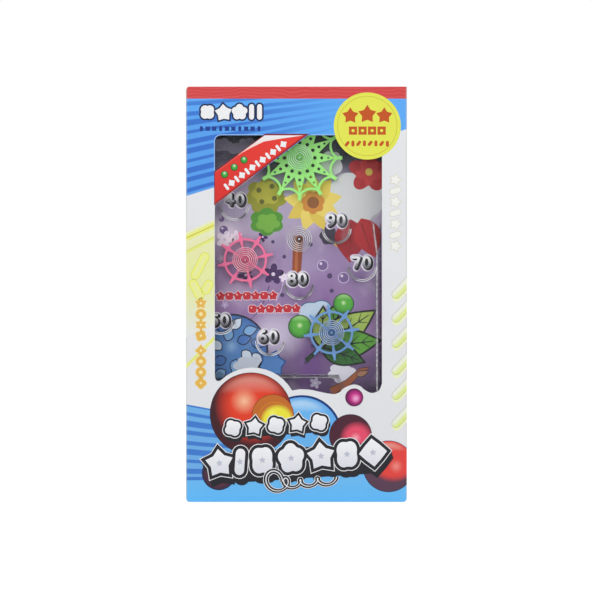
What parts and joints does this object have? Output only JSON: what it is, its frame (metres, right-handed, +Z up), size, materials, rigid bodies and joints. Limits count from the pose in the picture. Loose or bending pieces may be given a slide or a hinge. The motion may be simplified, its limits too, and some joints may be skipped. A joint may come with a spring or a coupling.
{
  "type": "handheld pinball game",
  "caption": "Handheld ball game with turning wheels, score cups and a spring plunger, standing in its window carton with a tuck lid.",
  "frame": {"origin": "middle of the carton's bottom face, in the plane that it stands on", "axes": "+Z up along the carton, +X to the right of someone who faces the window, the window faces -Y"},
  "size_m": [0.125, 0.03, 0.235],
  "materials": {
    "printed_board": "gloss varnish over print",
    "lid_board": "gloss varnish over print",
    "bare_board": "matte",
    "case_plastic": "satin",
    "deck_plastic": "satin",
    "printed_card": "semi-gloss print",
    "clear_plastic": "clear polished",
    "bright_steel": "polished",
    "ball_steel": "polished",
    "dull_steel": "zinc plated",
    "green_plastic": "translucent gloss",
    "pink_plastic": "translucent gloss",
    "blue_plastic": "translucent gloss",
    "knob_plastic": "gloss"
  },
  "bodies": {
    "boxed_game": {"carton_sleeve": "printed_board", "carton_glue_flap": "bare_board", "bottom_outer_panel": "lid_board", "bottom_inner_panel": "bare_board", "bottom_dust_flap_left": "bare_board", "bottom_dust_flap_right": "bare_board", "rear_case": "case_plastic", "playfield_deck": "deck_plastic", "playfield_card": "printed_card", "clear_cover": "clear_plastic", "star_wheel_pin": "bright_steel", "pink_wheel_pin": "bright_steel", "blue_wheel_pin": "bright_steel", "centre_pin": "bright_steel", "case_screw_top_left": "dull_steel", "case_screw_top_right": "dull_steel", "case_screw_middle_left": "dull_steel", "case_screw_middle_right": "dull_steel", "case_screw_bottom_left": "dull_steel", "case_screw_bottom_right": "dull_steel", "plunger_spring": "bright_steel"},
    "lid": {"carton_lid": "lid_board"},
    "left_dust_flap": {"top_dust_flap_left": "bare_board"},
    "right_dust_flap": {"top_dust_flap_right": "bare_board"},
    "star": {"star_wheel": "green_plastic"},
    "pink_web": {"pink_web_wheel": "pink_plastic"},
    "blue_web": {"blue_web_wheel": "blue_plastic"},
    "plunger": {"plunger_rod": "bright_steel", "plunger_knob": "knob_plastic", "plunger_striker": "knob_plastic"},
    "launched_ball": {"launch_ball": "ball_steel"},
    "waiting_balls": {"waiting_ball_1": "ball_steel", "waiting_ball_2": "ball_steel", "waiting_ball_3": "ball_steel", "waiting_ball_4": "ball_steel", "waiting_ball_5": "ball_steel"}
  },
  "joints": [
    {"name": "lid_crease", "type": "hinge", "parent": "boxed_game", "child": "lid", "pos_m": [0, 0.01505, 0.2345], "axis": [-1, 0, 0], "range_deg": [0, 180]},
    {"name": "left_flap_crease", "type": "hinge", "parent": "boxed_game", "child": "left_dust_flap", "pos_m": [-0.0617, 0, 0.2337], "axis": [0, -1, 0], "range_deg": [0, 90]},
    {"name": "right_flap_crease", "type": "hinge", "parent": "boxed_game", "child": "right_dust_flap", "pos_m": [0.0617, 0, 0.2337], "axis": [0, 1, 0], "range_deg": [0, 90]},
    {"name": "star_spin", "type": "hinge", "parent": "boxed_game", "child": "star", "pos_m": [0.00185, -0.00315, 0.19533], "axis": [0, -1, 0], "continuous": true},
    {"name": "pink_web_spin", "type": "hinge", "parent": "boxed_game", "child": "pink_web", "pos_m": [-0.02921, -0.00315, 0.1371], "axis": [0, -1, 0], "continuous": true},
    {"name": "blue_web_spin", "type": "hinge", "parent": "boxed_game", "child": "blue_web", "pos_m": [0.01998, -0.00315, 0.09566], "axis": [0, -1, 0], "continuous": true},
    {"name": "plunger_pull", "type": "slide", "parent": "boxed_game", "child": "plunger", "axis": [0, 0, -1], "range_m": [0, 0.009], "stiffness_N_per_m": 100, "springref_m": -0.01, "deforming": ["plunger_spring"]},
    {"name": "ball_launch", "type": "slide", "parent": "boxed_game", "child": "launched_ball", "axis": [0, 0, 1], "range_m": [0, 0.13]},
    {"name": "ball_queue_roll", "type": "slide", "parent": "boxed_game", "child": "waiting_balls", "axis": [-0.995, 0, 0.0997], "range_m": [0, 0.03]}
  ],
  "couplings": [
    {"joint": "left_flap_crease", "follows": "lid_crease", "ratio": 0.5},
    {"joint": "right_flap_crease", "follows": "lid_crease", "ratio": 0.5}
  ]
}
